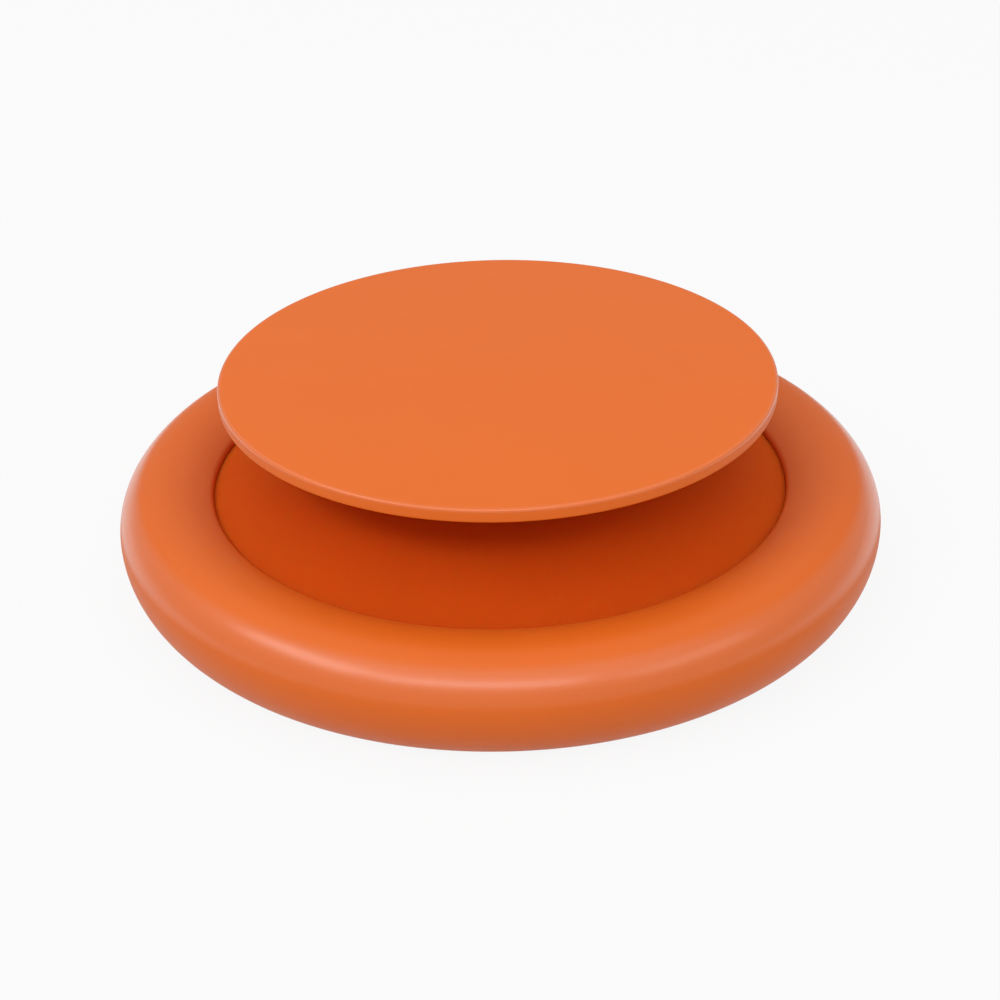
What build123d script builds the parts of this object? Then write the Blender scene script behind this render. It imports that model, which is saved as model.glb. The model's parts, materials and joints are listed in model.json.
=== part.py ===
from build123d import *
import os
from math import degrees

# A collapsible grip for the back of a phone, in millimetres.
# The origin is the middle of the face that meets the phone, +Z points away from the phone,
# and the grip is modelled as it stands when it is pulled out.
# Every piece but the magnets is turned about Z, so outlines are drawn as (radius, height).

# Disc that the fingers hold
disc_radius = 20.8
disc_edge_thickness = 1.0
disc_middle_thickness = 2.2
disc_rounding = 0.18
travel = 7.6

# Snap plug under the disc
plug_radius = 6.1
plug_wall = 1.5
barb_reach = 0.8
barb_length = 1.0
barb_shoulder = 0.25
slot_width = 1.2
slot_cuts = 2

# Collapsing neck: a soft cone with two thin rings in its wall, where it folds.
# The band between the folds rises by half the travel and turns over as the disc is pushed in.
head_width = 2.2
head_rounding = 1.0
neck_thickness = 1.0
fold_width = 0.8
fold_depth = 0.5
collar_wall = 1.2

# Magnet ring
magnet_count = 16
magnet_width = 3.1
magnet_thickness = 2.4
magnet_spacing = 0.3
yoke_thickness = 0.6

# Base
pad_thickness = 0.6
pad_inset = 0.6
pad_rounding = 0.25
cover_thickness = 1.0
cover_chamfer = 0.3
lip_height = 0.5
lip_thickness = 0.9
outer_wall = 2.4
inner_wall = 0.7
roof_thickness = 2.9
shoulder_radius = 3.5
rim_drop = 1.1
rim_rounding = 0.3
hold_width = 0.6
hold_thickness = 0.4

# Clearances
disc_gap = 1.0
seat_gap = 0.1
plug_gap = 0.3
barb_gap = 0.3
neck_gap = 0.1
magnet_gap = 0.15
roof_gap = 0.1
cover_gap = 0.1

# Heights, from the phone's face up
cover_top = pad_thickness + cover_thickness
magnet_top = cover_top + magnet_thickness
channel_roof = magnet_top + yoke_thickness + roof_gap
base_height = channel_roof + roof_thickness
opening_height = base_height - rim_drop
hold_level = opening_height - hold_thickness
neck_entry = hold_level - neck_gap
disc_top = base_height + travel
disc_underside = disc_top - disc_middle_thickness
neck_top = disc_underside - seat_gap
barb_top = neck_top - neck_thickness - barb_gap
plug_end = barb_top - barb_length

# Radii, from the plug out to the neck's head
head_bore = plug_radius + plug_gap
head_radius = head_bore + head_width

# Radii, from the disc out to the neck's foot and the base
opening_radius = disc_radius + disc_gap
foot_radius = opening_radius + hold_width
collar_pocket = foot_radius + neck_gap
channel_inner = collar_pocket + inner_wall
magnet_inner = channel_inner + magnet_gap
magnet_outer = magnet_inner + magnet_width
channel_outer = magnet_outer + magnet_gap
cover_radius = channel_outer - cover_gap
base_radius = channel_outer + outer_wall

# Rise of the neck's cone for each millimetre inwards
neck_slope = (neck_top - neck_entry) / (opening_radius - head_radius)


def turned(outline):
    """The solid that an outline of (radius, height) sweeps about Z."""
    return revolve(Plane.XZ * outline, axis=Axis.Z)


def flat_ring(inner, outer, low, high):
    """The outline of a ring with a rectangular section."""
    return make_face(Polyline((inner, low), (outer, low), (outer, high), (inner, high), close=True))


def rounded_at(outline, radius, *corners):
    """The outline with the named corners rounded."""
    chosen = [outline.vertices().sort_by_distance(corner)[0] for corner in corners]
    return fillet(chosen, radius)


def contact_pad():
    radius = cover_radius - pad_inset
    outline = flat_ring(0, radius, 0, pad_thickness)
    return turned(rounded_at(outline, pad_rounding, (radius, 0)))


def bottom_cover():
    outline = make_face(Polyline(
        (0, pad_thickness),
        (cover_radius - cover_chamfer, pad_thickness),
        (cover_radius, pad_thickness + cover_chamfer),
        (cover_radius, cover_top),
        (0, cover_top),
        close=True,
    ))
    return turned(outline)


def neck_outside(radius):
    """Height of the neck's outer face at a radius."""
    return neck_entry + neck_slope * (opening_radius - radius)


def neck_inside(radius):
    """Height of the neck's inner face, straight under the outer one."""
    return neck_outside(radius) - neck_thickness


def base_shell():
    """The ring with its rounded rim, whose inner edge holds the neck down, and the magnets' channel."""
    opening_edge = (opening_radius, opening_height)
    crest = (base_radius - shoulder_radius, base_height)
    widest = (base_radius, base_height - shoulder_radius)
    lip_edge = (channel_outer + lip_thickness, lip_height)
    rim = TangentArc(crest, opening_edge, tangent=(-1, 0))
    shoulder = TangentArc(crest, widest, tangent=(1, 0))
    flank = TangentArc(widest, lip_edge, tangent=(0, -1))
    underside = Polyline(
        lip_edge,
        (channel_outer, lip_height),
        (channel_outer, channel_roof),
        (channel_inner, channel_roof),
        (channel_inner, cover_top),
        (collar_pocket, cover_top),
        (collar_pocket, neck_outside(collar_pocket) + neck_gap),
        (opening_radius, hold_level),
        opening_edge,
    )
    outline = make_face([rim, shoulder, flank, underside])
    return turned(rounded_at(outline, rim_rounding, opening_edge))


def magnet(index):
    """One arc of the magnet ring, with the spacing to the next arc measured at mid width."""
    pitch = 360 / magnet_count
    spacing = degrees(magnet_spacing / (magnet_inner + magnet_width / 2))
    section = Plane.XZ * flat_ring(magnet_inner, magnet_outer, cover_top, magnet_top)
    arc = revolve(section, axis=Axis.Z, revolution_arc=pitch - spacing)
    return Rot(0, 0, pitch * index) * arc


def yoke_ring():
    return turned(flat_ring(magnet_inner, magnet_outer, magnet_top, magnet_top + yoke_thickness))


def fold(radius):
    """Points of the groove that thins the neck at a fold, from its inner edge out."""
    inner = radius - fold_width / 2
    outer = radius + fold_width / 2
    return [
        (inner, neck_inside(inner)),
        (radius, neck_inside(radius) + fold_depth),
        (outer, neck_inside(outer)),
    ]


def accordion():
    """The neck with its collar, which the rim and the cover trap, and its head, which the plug snaps into."""
    collar_inner = foot_radius - collar_wall
    foot_fold = collar_inner - fold_width / 2
    middle_fold = foot_fold - travel / 2 / neck_slope
    head_edge = (head_radius, neck_top)
    outline = make_face(Polyline(
        (collar_inner, cover_top),
        (foot_radius, cover_top),
        (foot_radius, neck_outside(foot_radius)),
        head_edge,
        (head_bore, neck_top),
        (head_bore, neck_top - neck_thickness),
        (head_radius, neck_top - neck_thickness),
        *fold(middle_fold),
        *fold(foot_fold),
        close=True,
    ))
    return turned(rounded_at(outline, head_rounding, head_edge))


def top_disc():
    """The thin disc, thicker towards its middle, with the slotted plug that snaps into the neck."""
    disc_low = disc_top - disc_edge_thickness
    upper_corner = (disc_radius, disc_top)
    lower_corner = (disc_radius, disc_low)
    seat_edge = (head_radius, disc_underside)
    barb_radius = plug_radius + barb_reach
    bore = plug_radius - plug_wall
    face_and_edge = Polyline((0, disc_underside), (0, disc_top), upper_corner, lower_corner)
    underside = TangentArc(seat_edge, lower_corner, tangent=(1, 0))
    plug = Polyline(
        seat_edge,
        (plug_radius, disc_underside),
        (plug_radius, barb_top),
        (barb_radius, barb_top),
        (barb_radius, barb_top - barb_shoulder),
        (plug_radius, plug_end),
        (bore, plug_end),
        (bore, disc_underside),
        (0, disc_underside),
    )
    outline = make_face([face_and_edge, underside, plug])
    disc = turned(rounded_at(outline, disc_rounding, upper_corner, lower_corner))
    slot_depth = neck_top - plug_end
    slot = Pos(0, 0, plug_end + slot_depth / 2) * Box(2 * barb_radius, slot_width, slot_depth)
    for cut in range(slot_cuts):
        disc -= Rot(0, 0, 180 * cut / slot_cuts) * slot
    return disc


pieces = {
    "contact_pad": contact_pad(),
    "bottom_cover": bottom_cover(),
    "base_shell": base_shell(),
    "yoke_ring": yoke_ring(),
    "accordion": accordion(),
    "top_disc": top_disc(),
}
for index in range(magnet_count):
    pieces[f"magnet_{index + 1:02d}"] = magnet(index)

os.makedirs("parts", exist_ok=True)
for name, shape in pieces.items():
    export_step(shape, f"parts/{name}.step")
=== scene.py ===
"""The looks of a collapsible phone grip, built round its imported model. Lengths are in metres."""

import json
import math

import bpy
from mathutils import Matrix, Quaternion, Vector


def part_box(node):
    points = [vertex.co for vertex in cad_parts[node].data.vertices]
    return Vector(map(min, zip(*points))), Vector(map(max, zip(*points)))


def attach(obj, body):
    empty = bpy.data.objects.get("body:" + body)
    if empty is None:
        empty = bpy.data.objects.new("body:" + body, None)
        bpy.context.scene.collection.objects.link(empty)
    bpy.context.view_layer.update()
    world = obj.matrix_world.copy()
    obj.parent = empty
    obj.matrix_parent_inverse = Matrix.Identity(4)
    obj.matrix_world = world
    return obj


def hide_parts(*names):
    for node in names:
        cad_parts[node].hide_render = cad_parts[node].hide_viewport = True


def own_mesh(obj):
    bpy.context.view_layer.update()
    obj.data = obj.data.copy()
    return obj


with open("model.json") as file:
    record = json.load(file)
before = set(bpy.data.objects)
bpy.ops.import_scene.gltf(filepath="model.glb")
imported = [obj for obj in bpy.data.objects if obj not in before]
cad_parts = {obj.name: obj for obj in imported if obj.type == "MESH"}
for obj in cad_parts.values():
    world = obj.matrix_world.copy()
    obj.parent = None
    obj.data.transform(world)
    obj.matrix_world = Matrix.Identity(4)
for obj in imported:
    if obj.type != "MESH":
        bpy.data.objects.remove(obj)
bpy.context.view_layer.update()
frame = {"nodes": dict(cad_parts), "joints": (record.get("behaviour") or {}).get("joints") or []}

MM = 0.001

# Sizes that the frame gives
shell_low, shell_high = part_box("base_shell")
disc_low, disc_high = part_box("top_disc")
_, neck_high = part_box("accordion")
cover_low, cover_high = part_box("bottom_cover")
_, pad_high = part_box("contact_pad")
base_radius, base_height, lip_height = shell_high.x, shell_high.z, shell_low.z
disc_radius, disc_top, plug_end = disc_high.x, disc_high.z, disc_low.z
foot_radius, neck_top, cover_top = neck_high.x, neck_high.z, cover_high.z
cover_radius, cover_foot = cover_high.x, cover_low.z
pad_radius, pad_top = pad_high.x, pad_high.z
slide = frame["joints"][0]
travel = abs(slide["range_m"][0])

# Rim of the base, whose inner edge is softer here than on the solid, and the channel under it
shoulder_radius = 3.5 * MM
rim_drop = 1.1 * MM
rim_rounding = 0.6 * MM
opening_radius = 21.8 * MM
opening_height = base_height - rim_drop
hold_thickness = 0.4 * MM
hold_level = opening_height - hold_thickness
collar_pocket = 22.5 * MM
channel_inner = 23.2 * MM
channel_outer = 26.6 * MM
channel_roof = 4.7 * MM
lip_thickness = 0.9 * MM

# Disc and its plug
disc_edge = 1.0 * MM
disc_middle = 2.2 * MM
disc_rounding = 0.18 * MM
plug_radius = 6.1 * MM
plug_bore = 4.6 * MM
barb_radius = 6.9 * MM
barb_length = 1.0 * MM
barb_shoulder = 0.25 * MM
slot_width = 1.2 * MM
slot_length = 2.2 * barb_radius

# Folding neck
head_bore = 6.4 * MM
head_radius = 8.6 * MM
head_rounding = 1.0 * MM
neck_gap = 0.1 * MM
neck_entry = hold_level - neck_gap
neck_slope = (neck_top - neck_entry) / (opening_radius - head_radius)
neck_thickness = 1.0 * MM
fold_width = 0.8 * MM
fold_depth = 0.5 * MM
collar_wall = 1.2 * MM

# Gap between faces that touch
contact_gap = 0.02 * MM

# Small roundings on the edges that a mould leaves
edge_rounding = 0.12 * MM
rim_edge_rounding = 0.04 * MM
rounding_steps = 3
pad_rounding = 0.25 * MM
cover_chamfer = 0.3 * MM
sharp_angle = math.radians(35)

# Steps round every turned piece, the widest turn between two points of an arc, and how near points merge
steps_around = 240
arc_step = math.radians(5)
merge_distance = 0.001 * MM

# Colours
DISC_ORANGE = (0.78, 0.142, 0.004, 1.0)
# The rim is the disc's orange made a little darker: painted shade that dims the rim under these lamps.
RIM_ORANGE_WITH_PAINTED_SHADE = (0.73, 0.132, 0.008, 1.0)
# The neck is the same orange made much darker: painted shade for the recess under the disc.
NECK_ORANGE_WITH_PAINTED_SHADE = (0.60, 0.071, 0.002, 1.0)
PAD_ORANGE = (0.62, 0.09, 0.004, 1.0)
NICKEL = (0.62, 0.60, 0.57, 1.0)
STEEL = (0.46, 0.46, 0.47, 1.0)
WHITE = (1.0, 1.0, 1.0, 1.0)
PALE_FLOOR = (0.6, 0.6, 0.6, 1.0)

# Moulded finish: patches in its colour and its gloss, how far they change it, and its grain
cloud_size = 9 * MM
cloud_shades = (0.97, 1.03)
gloss_size = 2.5 * MM
gloss_swing = 0.08
grain_detail = 3.0
grain_strength = 0.2
grain_depth = 0.02 * MM

# Metal finish: its grain, how far brushing draws that out along X, and how far it changes the metal
metal_grain = 0.3 * MM
brushed_stretch = (0.08, 1.0, 1.0)
metal_shades = (0.9, 1.08)
metal_swing = 0.12
metal_strength = 0.1
metal_depth = 0.01 * MM

# How much light soaks into the soft neck, how deep, and how far each of its colours gets
soak_weight = 0.7
soak_depth = 2.5 * MM
soak_spread = (1.0, 0.25, 0.1)

# Polish on the edges that hands and pockets rub. On the shoulder it starts this far out from the crest
# and this far up from the widest place.
polish_roughness = 0.26
polish_outwards = 1.5 * MM
polish_upwards = 0.6 * MM
polish_fade = 0.8 * MM
disc_polish_reach = 1.5 * disc_rounding
disc_polish_fade = 0.5 * disc_rounding

# Studio
room_light = 0.52
floor_radius = 20.0
floor_corners = 96
floor_whiteness = 0.90
lamp_aim = (0, 0, 6 * MM)
ceiling_place = (-0.05, 0, 0.50)
ceiling_size = (0.90, 0.90)
ceiling_power = 1.25
front_place = (-0.04, -0.34, 0.33)
front_size = (0.40, 0.10)
front_power = 0.50
left_place = (-0.33, -0.15, 0.33)
right_place = (0.33, -0.22, 0.28)
side_size = (0.30, 0.12)
left_power = 0.42
right_power = 0.18

# Camera
camera_elevation = math.radians(29.9)
camera_roll = math.radians(1.15)
camera_distance = 158 * MM
camera_target = Vector((0, 0, 4 * MM))
view_width = 77.3 * MM
nearest_view = 10 * MM


# Outlines, drawn as (radius, height) points

def arc(centre, radius, first, last):
    """Points on a circle between two angles, both ends included."""
    steps = max(2, math.ceil(abs(last - first) / arc_step))
    angles = [first + (last - first) * step / steps for step in range(steps + 1)]
    across, up = centre
    return [(across + radius * math.cos(angle), up + radius * math.sin(angle)) for angle in angles]


def arc_leaving(start, end, heading):
    """The arc from start to end that leaves start in the given direction."""
    across = (-heading[1], heading[0])
    chord = (end[0] - start[0], end[1] - start[1])
    radius = (chord[0] ** 2 + chord[1] ** 2) / (2 * (chord[0] * across[0] + chord[1] * across[1]))
    centre = (start[0] + radius * across[0], start[1] + radius * across[1])
    first = math.atan2(start[1] - centre[1], start[0] - centre[0])
    last = math.atan2(end[1] - centre[1], end[0] - centre[0])
    turn = (last - first + math.pi) % (2 * math.pi) - math.pi
    return arc(centre, abs(radius), first, first + turn)


def rounded(before, corner, after, radius):
    """The arc that rounds a corner between two neighbouring points."""
    corner = Vector(corner)
    back = (Vector(before) - corner).normalized()
    ahead = (Vector(after) - corner).normalized()
    reach = radius / math.tan(back.angle(ahead) / 2)
    return arc_leaving(corner + back * reach, corner + ahead * reach, -back)


def neck_outside(radius):
    """Height of the neck's outer face at a radius."""
    return neck_entry + neck_slope * (opening_radius - radius)


def neck_inside(radius):
    """Height of the neck's inner face, straight under the outer one."""
    return neck_outside(radius) - neck_thickness


def shell_outline():
    hold_edge = (opening_radius, hold_level)
    opening_edge = (opening_radius, opening_height)
    crest = (base_radius - shoulder_radius, base_height)
    widest = (base_radius, base_height - shoulder_radius)
    lip_edge = (channel_outer + lip_thickness, lip_height)
    rim = arc_leaving(crest, opening_edge, (-1, 0))[::-1]
    shoulder = arc_leaving(crest, widest, (1, 0))
    flank = arc_leaving(widest, lip_edge, (0, -1))
    return [
        hold_edge,
        *rounded(hold_edge, opening_edge, rim[1], rim_rounding),
        *rim[1:],
        *shoulder[1:],
        *flank[1:],
        (channel_outer, lip_height),
        (channel_outer, channel_roof),
        (channel_inner, channel_roof),
        (channel_inner, cover_top),
        (collar_pocket, cover_top),
        (collar_pocket, neck_outside(collar_pocket) + neck_gap),
    ]


def disc_outline():
    underside = disc_top - disc_middle
    upper_corner = (disc_radius, disc_top)
    lower_corner = (disc_radius, disc_top - disc_edge)
    curve = arc_leaving((head_radius, underside), lower_corner, (1, 0))[::-1]
    barb_top = plug_end + barb_length
    return [
        (0, disc_top),
        *rounded((0, disc_top), upper_corner, lower_corner, disc_rounding),
        *rounded(upper_corner, lower_corner, curve[1], disc_rounding),
        *curve[1:],
        (plug_radius, underside),
        (plug_radius, barb_top),
        (barb_radius, barb_top),
        (barb_radius, barb_top - barb_shoulder),
        (plug_radius, plug_end),
        (plug_bore, plug_end),
        (plug_bore, underside),
        (0, underside),
    ]


def fold(radius):
    """Points of the groove that thins the neck at a fold, from its inner edge out."""
    inner = radius - fold_width / 2
    outer = radius + fold_width / 2
    return [
        (inner, neck_inside(inner)),
        (radius, neck_inside(radius) + fold_depth),
        (outer, neck_inside(outer)),
    ]


def neck_outline():
    foot_edge = (foot_radius, neck_outside(foot_radius))
    held_edge = (opening_radius, hold_level - contact_gap)
    head_edge = (head_radius, neck_top)
    head_corner = (head_bore, neck_top)
    collar_inner = foot_radius - collar_wall
    foot_fold = collar_inner - fold_width / 2
    middle_fold = foot_fold - travel / 2 / neck_slope
    return [
        (collar_inner, cover_top),
        (foot_radius, cover_top),
        foot_edge,
        held_edge,
        *rounded(held_edge, head_edge, head_corner, head_rounding),
        head_corner,
        (head_bore, neck_top - neck_thickness),
        (head_radius, neck_top - neck_thickness),
        *fold(middle_fold),
        *fold(foot_fold),
    ]


def pad_outline():
    return [
        (0, pad_top),
        (pad_radius, pad_top),
        *rounded((pad_radius, pad_top), (pad_radius, 0), (0, 0), pad_rounding),
        (0, 0),
    ]


def cover_outline():
    return [
        (0, cover_top),
        (cover_radius, cover_top),
        (cover_radius, cover_foot + cover_chamfer),
        (cover_radius - cover_chamfer, cover_foot),
        (0, cover_foot),
    ]


# Modelling, as by hand: an outline is drawn point by point from one corner and then spun

def start_at(name, point):
    """A new piece in edit mode that holds one selected point."""
    bpy.ops.object.select_all(action="DESELECT")
    bpy.ops.mesh.primitive_plane_add(size=MM)
    piece = bpy.context.object
    piece.name = name
    piece.data.name = name
    bpy.ops.object.mode_set(mode="EDIT")
    bpy.ops.mesh.select_all(action="SELECT")
    bpy.ops.mesh.merge(type="CENTER")
    bpy.ops.transform.translate(value=(point[0], 0, point[1]))
    return piece


def turned(name, outline):
    """A piece turned about Z. An outline off the axis is closed, one on it ends there."""
    piece = start_at(name, outline[0])
    chain = list(outline)
    if outline[0][0] > 0:
        chain.append(outline[0])
    for here, there in zip(chain, chain[1:]):
        step = (there[0] - here[0], 0, there[1] - here[1])
        bpy.ops.mesh.extrude_vertices_move(TRANSFORM_OT_translate={"value": step})
    bpy.ops.mesh.select_all(action="SELECT")
    bpy.ops.mesh.spin(steps=steps_around, angle=math.tau, center=(0, 0, 0), axis=(0, 0, 1))
    bpy.ops.mesh.select_all(action="SELECT")
    bpy.ops.mesh.remove_doubles(threshold=merge_distance)
    bpy.ops.mesh.normals_make_consistent(inside=False)
    bpy.ops.object.mode_set(mode="OBJECT")
    return piece


def pick(piece):
    """Makes a piece the only selected one."""
    bpy.ops.object.select_all(action="DESELECT")
    piece.select_set(True)
    bpy.context.view_layer.objects.active = piece


def ease_edges(piece, rounding=edge_rounding):
    """Rounds the edges that are still sharp, and shades the piece smooth."""
    pick(piece)
    bevel = piece.modifiers.new("eased_edges", "BEVEL")
    bevel.width = rounding
    bevel.segments = rounding_steps
    bevel.limit_method = "ANGLE"
    bevel.angle_limit = sharp_angle
    bpy.ops.object.modifier_apply(modifier=bevel.name)
    bpy.ops.object.shade_smooth_by_angle(angle=sharp_angle)


def cut_slots(disc):
    """Splits the plug under the disc into springy quarters, with one cut along X and one along Y."""
    depth = neck_top - plug_end
    for length, width in ((slot_length, slot_width), (slot_width, slot_length)):
        size = (length, width, 2 * depth)
        bpy.ops.object.select_all(action="DESELECT")
        bpy.ops.mesh.primitive_cube_add(size=1, location=(0, 0, plug_end), scale=size)
        cutter = bpy.context.object
        bpy.ops.object.transform_apply(location=True, rotation=False, scale=True)
        pick(disc)
        cut = disc.modifiers.new("slot", "BOOLEAN")
        cut.operation = "DIFFERENCE"
        cut.object = cutter
        bpy.ops.object.modifier_apply(modifier=cut.name)
        bpy.data.objects.remove(cutter)


# Shaders

class Socket:
    """A number in a shader that can be added, subtracted and multiplied in plain Python."""

    def __init__(self, finish, link):
        self.finish = finish
        self.link = link

    def work(self, operation, first, second):
        return self.finish.node("ShaderNodeMath", {"operation": operation}, {0: first, 1: second})

    def __add__(self, other):
        return self.work("ADD", self, other)

    def __radd__(self, other):
        return self.work("ADD", other, self)

    def __sub__(self, other):
        return self.work("SUBTRACT", self, other)

    def __rsub__(self, other):
        return self.work("SUBTRACT", other, self)

    def __mul__(self, other):
        return self.work("MULTIPLY", self, other)

    def __rmul__(self, other):
        return self.work("MULTIPLY", other, self)


class Finish:
    """A shader under construction: one method adds any node and hands back one of its outputs."""

    def __init__(self, tree):
        self.tree = tree
        self.tree.nodes.clear()

    def node(self, kind, settings=None, inputs=None, output=0):
        made = self.tree.nodes.new(kind)
        for name, value in (settings or {}).items():
            setattr(made, name, value)
        for name, value in (inputs or {}).items():
            if isinstance(value, Socket):
                self.tree.links.new(value.link, made.inputs[name])
            else:
                made.inputs[name].default_value = value
        return Socket(self, made.outputs[output]) if made.outputs else made

    def noise(self, size, detail=2.0):
        """Noise between 0 and 1 with patches of about the given size."""
        place = self.node("ShaderNodeTexCoord", output="Object")
        inputs = {"Vector": place, "Scale": 1 / size, "Detail": detail}
        return self.node("ShaderNodeTexNoise", {}, inputs)

    def blend(self, share, first, second):
        """A colour between two others."""
        return self.node("ShaderNodeMix", {"data_type": "RGBA"}, {0: share, 6: first, 7: second}, 2)

    def ramp(self, value, start, end):
        """A smooth step from 0 at start to 1 at end."""
        settings = {"interpolation_type": "SMOOTHSTEP"}
        inputs = {"Value": value, "From Min": start, "From Max": end}
        return self.node("ShaderNodeMapRange", settings, inputs)

    def edge(self, start_radius, start_height, fade):
        """1 on what lies further out and higher up than the given place, and 0 on the rest."""
        place = self.node("ShaderNodeTexCoord", output="Object")
        flat = self.node("ShaderNodeVectorMath", {"operation": "MULTIPLY"}, {0: place, 1: (1, 1, 0)})
        radius = self.node("ShaderNodeVectorMath", {"operation": "LENGTH"}, {0: flat}, "Value")
        height = self.node("ShaderNodeSeparateXYZ", {}, {0: place}, "Z")
        outwards = self.ramp(radius, start_radius, start_radius + fade)
        return outwards * self.ramp(height, start_height, start_height + fade)

    def bump(self, height, strength, distance):
        inputs = {"Strength": strength, "Distance": distance, "Height": height}
        return self.node("ShaderNodeBump", {}, inputs)


def new_finish(name):
    material = bpy.data.materials.new(name)
    material.use_nodes = True
    return material, Finish(material.node_tree)


def close(finish, shader):
    finish.node("ShaderNodeOutputMaterial", {}, {"Surface": shader})


def shade(colour, share):
    """A colour made lighter or darker by a share of itself."""
    return tuple(part * share for part in colour[:3]) + (1.0,)


def moulded_finish(name, colour, roughness, gloss_level, grain, rubbed=None, soaking=0.0):
    """Coloured elastomer with faint clouds, an uneven gloss and a fine grain from the mould."""
    material, finish = new_finish(name)
    clouds = finish.noise(cloud_size)
    gloss = finish.noise(gloss_size)
    texture = finish.noise(grain, detail=grain_detail)
    darker, lighter = [shade(colour, share) for share in cloud_shades]
    shader = finish.node("ShaderNodeBsdfPrincipled", {}, {
        "Base Color": finish.blend(clouds, darker, lighter),
        "Roughness": roughness + gloss_swing * (gloss - 0.5),
        "Specular IOR Level": gloss_level,
        "Subsurface Weight": soaking,
        "Subsurface Radius": soak_spread,
        "Subsurface Scale": soak_depth,
        "Coat Weight": finish.edge(*rubbed) if rubbed else 0.0,
        "Coat Roughness": polish_roughness,
        "Normal": finish.bump(texture, grain_strength, grain_depth),
    })
    close(finish, shader)
    return material


def metal_finish(name, colour, roughness, brushed):
    """Plated or rolled metal, with a fine grain that is drawn out along X when it is brushed."""
    material, finish = new_finish(name)
    place = finish.node("ShaderNodeTexCoord", output="Object")
    stretch = brushed_stretch if brushed else (1.0, 1.0, 1.0)
    drawn = finish.node("ShaderNodeMapping", {}, {"Vector": place, "Scale": stretch})
    inputs = {"Vector": drawn, "Scale": 1 / metal_grain, "Detail": grain_detail}
    grain = finish.node("ShaderNodeTexNoise", {}, inputs)
    darker, lighter = [shade(colour, share) for share in metal_shades]
    shader = finish.node("ShaderNodeBsdfPrincipled", {}, {
        "Base Color": finish.blend(grain, darker, lighter),
        "Metallic": 1.0,
        "Roughness": roughness + metal_swing * (grain - 0.5),
        "Normal": finish.bump(grain, metal_strength, metal_depth),
    })
    close(finish, shader)
    return material


# Pieces

def dress(piece, material, body, node):
    """Gives a piece its finish, and says what it moves with and which solid it stands for."""
    piece.data.materials.clear()
    piece.data.materials.append(material)
    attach(piece, body)
    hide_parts(node)


def build_rim():
    rim = turned("rim", shell_outline())
    ease_edges(rim, rim_edge_rounding)
    crest_radius = base_radius - shoulder_radius
    widest_height = base_height - shoulder_radius
    rubbed = (crest_radius + polish_outwards, widest_height + polish_upwards, polish_fade)
    # The rim's base colour is darkened as painted shade.
    finish = moulded_finish(
        "soft_orange_rim", RIM_ORANGE_WITH_PAINTED_SHADE, roughness=0.48, gloss_level=0.34, grain=0.12 * MM, rubbed=rubbed)
    dress(rim, finish, "base", "base_shell")


def build_disc():
    disc = turned("finger_disc", disc_outline())
    cut_slots(disc)
    ease_edges(disc)
    rubbed = (disc_radius - disc_polish_reach, disc_top - disc_polish_reach, disc_polish_fade)
    finish = moulded_finish(
        "soft_orange_disc", DISC_ORANGE, roughness=0.45, gloss_level=0.40, grain=0.12 * MM, rubbed=rubbed)
    dress(disc, finish, "disc", "top_disc")


def build_neck():
    neck = turned("folding_neck", neck_outline())
    ease_edges(neck)
    # The neck's base colour is darkened as painted shade for the recess under the disc.
    finish = moulded_finish(
        "orange_neck", NECK_ORANGE_WITH_PAINTED_SHADE, roughness=0.8, gloss_level=0.08, grain=0.2 * MM, soaking=soak_weight)
    dress(neck, finish, "base", "accordion")
    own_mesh(neck)


def build_cover():
    cover = turned("closing_plate", cover_outline())
    ease_edges(cover)
    finish = moulded_finish("orange_plate", PAD_ORANGE, roughness=0.5, gloss_level=0.4, grain=0.25 * MM)
    dress(cover, finish, "base", "bottom_cover")


def build_pad():
    pad = turned("phone_pad", pad_outline())
    ease_edges(pad)
    finish = moulded_finish("orange_pad", PAD_ORANGE, roughness=0.6, gloss_level=0.3, grain=0.15 * MM)
    dress(pad, finish, "base", "contact_pad")


def dress_inner_metal():
    nickel = metal_finish("nickel_plate", NICKEL, roughness=0.28, brushed=False)
    steel = metal_finish("rolled_steel", STEEL, roughness=0.38, brushed=True)
    for name, node in frame["nodes"].items():
        if name.startswith("magnet_"):
            node.material_slots[0].material = nickel
        elif name == "yoke_ring":
            node.material_slots[0].material = steel


# Studio

def build_world():
    world = bpy.data.worlds.new("studio")
    bpy.context.scene.world = world
    world.use_nodes = True
    finish = Finish(world.node_tree)
    room = finish.node("ShaderNodeBackground", {}, {"Color": WHITE, "Strength": room_light})
    finish.node("ShaderNodeOutputWorld", {}, {"Surface": room})


def seen_ray(finish):
    """1 for what the camera sees, straight, mirrored or through glass, and 0 for light on its way."""
    straight = finish.node("ShaderNodeLightPath", output="Is Camera Ray")
    mirrored = finish.node("ShaderNodeLightPath", output="Is Glossy Ray")
    through = finish.node("ShaderNodeLightPath", output="Is Transmission Ray")
    return straight.work("MAXIMUM", straight, mirrored.work("MAXIMUM", mirrored, through))


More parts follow.
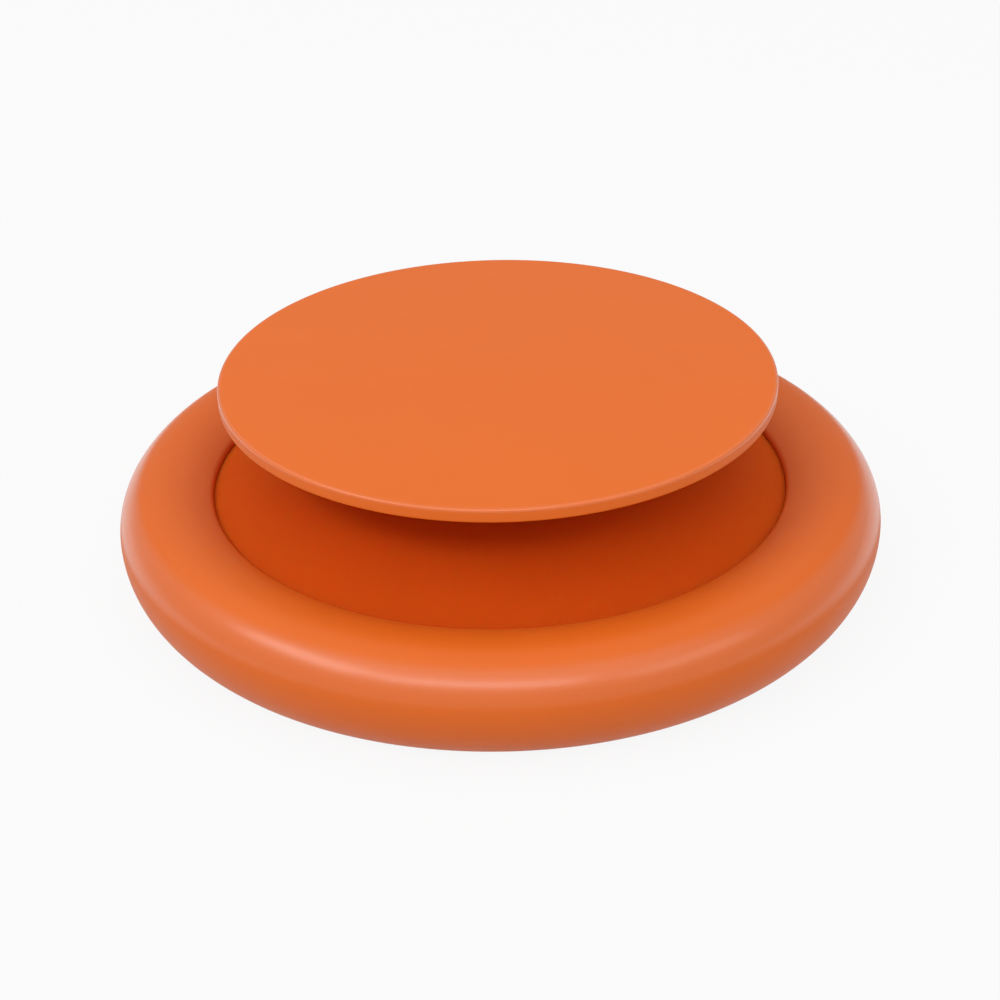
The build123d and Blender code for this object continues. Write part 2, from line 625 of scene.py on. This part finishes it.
def build_floor():
    """A pale floor that shows as white, keeps the shadow, is open under the pad and clear from below."""
    bpy.ops.object.select_all(action="DESELECT")
    opening = pad_radius - pad_rounding
    spread = floor_radius / opening
    bpy.ops.mesh.primitive_circle_add(vertices=floor_corners, radius=opening, location=(0, 0, -contact_gap))
    floor = bpy.context.object
    floor.name = "floor"
    bpy.ops.object.transform_apply(location=True, rotation=False, scale=False)
    bpy.ops.object.mode_set(mode="EDIT")
    bpy.ops.mesh.select_all(action="SELECT")
    bpy.ops.mesh.extrude_edges_move()
    bpy.ops.transform.resize(value=(spread, spread, 1))
    bpy.ops.mesh.select_all(action="SELECT")
    bpy.ops.mesh.normals_make_consistent(inside=True)
    bpy.ops.object.mode_set(mode="OBJECT")
    material, finish = new_finish("pale_floor")
    paper = finish.node("ShaderNodeBsdfDiffuse", {}, {"Color": PALE_FLOOR})
    white = finish.node("ShaderNodeEmission", {}, {"Color": WHITE, "Strength": 1.0})
    clear = finish.node("ShaderNodeBsdfTransparent")
    underneath = finish.node("ShaderNodeNewGeometry", output="Backfacing")
    whiteness = floor_whiteness * seen_ray(finish)
    top = finish.node("ShaderNodeMixShader", {}, {0: whiteness, 1: paper, 2: white})
    close(finish, finish.node("ShaderNodeMixShader", {}, {0: underneath, 1: top, 2: clear}))
    floor.data.materials.append(material)


def soft_box(name, place, size, power):
    """A lamp of a given width and height, turned to the grip."""
    bpy.ops.object.light_add(type="AREA", location=place)
    lamp = bpy.context.object
    lamp.name = name
    lamp.data.shape = "RECTANGLE"
    lamp.data.size, lamp.data.size_y = size
    lamp.data.energy = power
    lamp.rotation_euler = (Vector(lamp_aim) - Vector(place)).to_track_quat("-Z", "Y").to_euler()


def build_camera():
    back = Vector((0, -math.cos(camera_elevation), math.sin(camera_elevation)))
    camera = bpy.data.objects.new("camera", bpy.data.cameras.new("camera"))
    bpy.context.scene.collection.objects.link(camera)
    camera.location = camera_target + camera_distance * back
    aim = (-back).to_track_quat("-Z", "Y")
    camera.rotation_euler = (aim @ Quaternion((0, 0, 1), -camera_roll)).to_euler()
    camera.data.lens = camera.data.sensor_width * camera_distance / view_width
    camera.data.clip_start = nearest_view
    bpy.context.scene.camera = camera


build_rim()
build_disc()
build_neck()
build_cover()
build_pad()
dress_inner_metal()
build_world()
build_floor()
soft_box("ceiling", ceiling_place, ceiling_size, ceiling_power)
soft_box("front_strip", front_place, front_size, front_power)
soft_box("left_strip", left_place, side_size, left_power)
soft_box("right_strip", right_place, side_size, right_power)
build_camera()

bpy.context.scene.view_settings.view_transform = "Standard"
